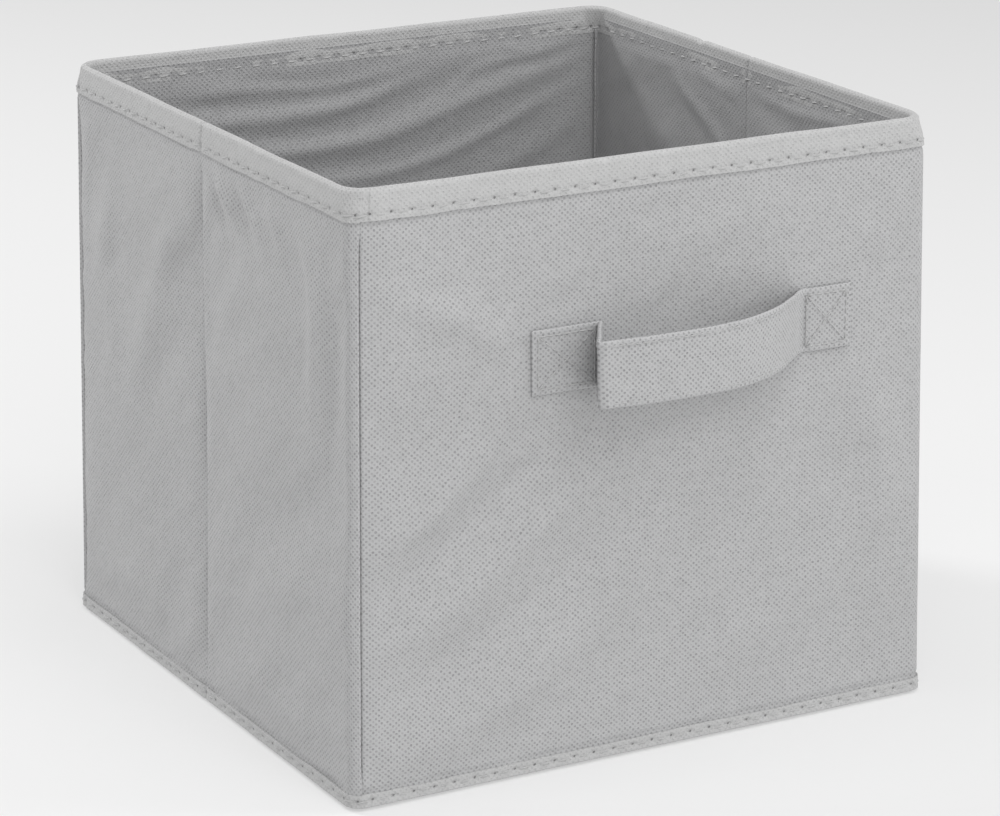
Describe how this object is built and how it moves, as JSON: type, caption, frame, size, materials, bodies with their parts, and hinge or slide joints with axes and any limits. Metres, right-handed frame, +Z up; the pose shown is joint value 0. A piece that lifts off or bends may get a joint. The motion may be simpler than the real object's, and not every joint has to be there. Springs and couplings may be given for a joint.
{
  "type": "fabric storage bin",
  "caption": "Foldable square fabric storage bin: board-stiffened walls, bound and stitched rim and hem, one bowed strap handle, soft creased sides and a loose base insert.",
  "frame": {"origin": "centre of the footprint on the floor, at the middle of the underside", "axes": "+Z up, -Y towards the front wall with the handle, +X to the right seen from the front"},
  "size_m": [0.2946, 0.3265, 0.28],
  "materials": {
    "cover_fabric": "matte dot-embossed non-woven, light grey",
    "lining_fabric": "matte thin non-woven, light grey",
    "binding_fabric": "matte dot-embossed non-woven, light grey, folded and pressed",
    "thread": "matte spun polyester, light grey",
    "board": "uncoated brown chipboard"
  },
  "bodies": {
    "back": {"back_board": "board", "back_cover": "cover_fabric", "back_lining": "lining_fabric", "back_rim_binding": "binding_fabric", "back_hem_binding": "binding_fabric", "back_rim_stitching": "thread", "back_hem_stitching": "thread", "back_left_corner_seam": "cover_fabric", "back_right_corner_seam": "cover_fabric", "floor_sheet": "cover_fabric"},
    "left_rear": {"left_rear_board": "board", "left_rear_cover": "cover_fabric", "left_rear_lining": "lining_fabric", "left_rear_rim_binding": "binding_fabric", "left_rear_hem_binding": "binding_fabric", "left_rear_rim_stitching": "thread", "left_rear_hem_stitching": "thread", "left_crease_seam": "cover_fabric"},
    "left_front": {"left_front_board": "board", "left_front_cover": "cover_fabric", "left_front_lining": "lining_fabric", "left_front_rim_binding": "binding_fabric", "left_front_hem_binding": "binding_fabric", "left_front_rim_stitching": "thread", "left_front_hem_stitching": "thread"},
    "front": {"front_board": "board", "front_cover": "cover_fabric", "front_lining": "lining_fabric", "front_rim_binding": "binding_fabric", "front_hem_binding": "binding_fabric", "front_rim_stitching": "thread", "front_hem_stitching": "thread", "front_left_corner_seam": "cover_fabric", "front_right_corner_seam": "cover_fabric", "handle_strap": "binding_fabric", "handle_left_stitching": "thread", "handle_right_stitching": "thread", "handle_edge_stitching": "thread"},
    "right_front": {"right_front_board": "board", "right_front_cover": "cover_fabric", "right_front_lining": "lining_fabric", "right_front_rim_binding": "binding_fabric", "right_front_hem_binding": "binding_fabric", "right_front_rim_stitching": "thread", "right_front_hem_stitching": "thread"},
    "right_rear": {"right_rear_board": "board", "right_rear_cover": "cover_fabric", "right_rear_lining": "lining_fabric", "right_rear_rim_binding": "binding_fabric", "right_rear_hem_binding": "binding_fabric", "right_rear_rim_stitching": "thread", "right_rear_hem_stitching": "thread", "right_crease_seam": "cover_fabric"},
    "base": {"base_board": "board", "base_cover": "cover_fabric", "base_pull_tab": "binding_fabric"}
  },
  "joints": [
    {"name": "side_fold", "type": "hinge", "parent": "back", "child": "left_rear", "pos_m": [-0.1425, 0.1378, 0], "axis": [0, 0, 1], "range_deg": [0, 90], "deforming": ["floor_sheet", "left_rear_hem_binding", "left_rear_hem_stitching", "left_front_hem_binding", "left_front_hem_stitching", "front_hem_binding", "front_hem_stitching", "right_front_hem_binding", "right_front_hem_stitching", "right_rear_hem_binding", "right_rear_hem_stitching"]},
    {"name": "left_crease", "type": "hinge", "parent": "left_rear", "child": "left_front", "pos_m": [-0.1475, 0, 0], "axis": [0, 0, 1], "range_deg": [-180, 0]},
    {"name": "left_front_corner", "type": "hinge", "parent": "left_front", "child": "front", "pos_m": [-0.1425, -0.1378, 0], "axis": [0, 0, 1], "range_deg": [0, 90]},
    {"name": "right_front_corner", "type": "hinge", "parent": "front", "child": "right_front", "pos_m": [0.1425, -0.1378, 0], "axis": [0, 0, 1], "range_deg": [0, 90]},
    {"name": "right_rear_corner", "type": "hinge", "parent": "back", "child": "right_rear", "pos_m": [0.1425, 0.1378, 0], "axis": [0, 0, 1], "range_deg": [-90, 0]},
    {"name": "base_lift", "type": "hinge", "parent": "back", "child": "base", "pos_m": [0, 0.1384, 0.0008], "axis": [-1, 0, 0], "range_deg": [0, 90]}
  ],
  "couplings": [
    {"joint": "left_crease", "follows": "side_fold", "ratio": -2},
    {"joint": "left_front_corner", "follows": "side_fold", "ratio": 1},
    {"joint": "right_front_corner", "follows": "side_fold", "ratio": 1},
    {"joint": "right_rear_corner", "follows": "side_fold", "ratio": -1}
  ]
}
